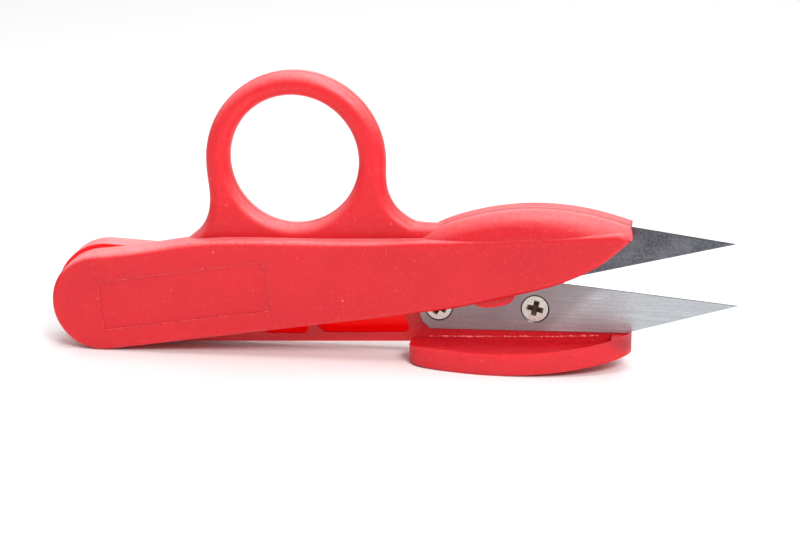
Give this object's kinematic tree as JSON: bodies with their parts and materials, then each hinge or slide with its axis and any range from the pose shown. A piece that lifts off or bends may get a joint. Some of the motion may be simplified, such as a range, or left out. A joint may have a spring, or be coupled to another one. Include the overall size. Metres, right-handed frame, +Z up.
{
  "type": "thread snips",
  "caption": "Hand-held thread snips: moulded plastic handles hinged at the butt and sprung open, a finger ring on the upper one, and screwed-on steel blades.",
  "frame": {"origin": "middle of the tool's length and width, on the surface that it stands on", "axes": "+X towards the blade tips, +Y away from the side that shows the upper handle's whole face, +Z up, with the tool standing on its edge and open"},
  "size_m": [0.1214, 0.0186, 0.0508],
  "materials": {
    "red_plastic": "moulded, fine satin grain, slightly translucent",
    "ground_steel": "ground along the blade",
    "blackened_steel": "dark blackened, faint mottle",
    "screw_steel": "bright plated, slightly warm",
    "spring_steel": "drawn wire"
  },
  "bodies": {
    "lower_arm": {"lower_handle": "red_plastic", "lower_blade": "ground_steel", "lower_blade_screw_rear": "screw_steel", "lower_blade_screw_front": "screw_steel", "return_spring": "spring_steel"},
    "upper_arm": {"upper_handle": "red_plastic", "upper_blade": "blackened_steel", "upper_blade_screw_rear": "screw_steel", "upper_blade_screw_front": "screw_steel", "pivot_screw": "screw_steel", "pivot_washer": "screw_steel"}
  },
  "joints": [
    {"name": "butt_pivot", "type": "hinge", "parent": "lower_arm", "child": "upper_arm", "pos_m": [-0.05176, 0, 0.00895], "axis": [0, 1, 0], "range_deg": [0, 5.7], "stiffness_Nm_per_rad": 0.15, "springref_deg": -20.05, "deforming": ["return_spring"]}
  ]
}
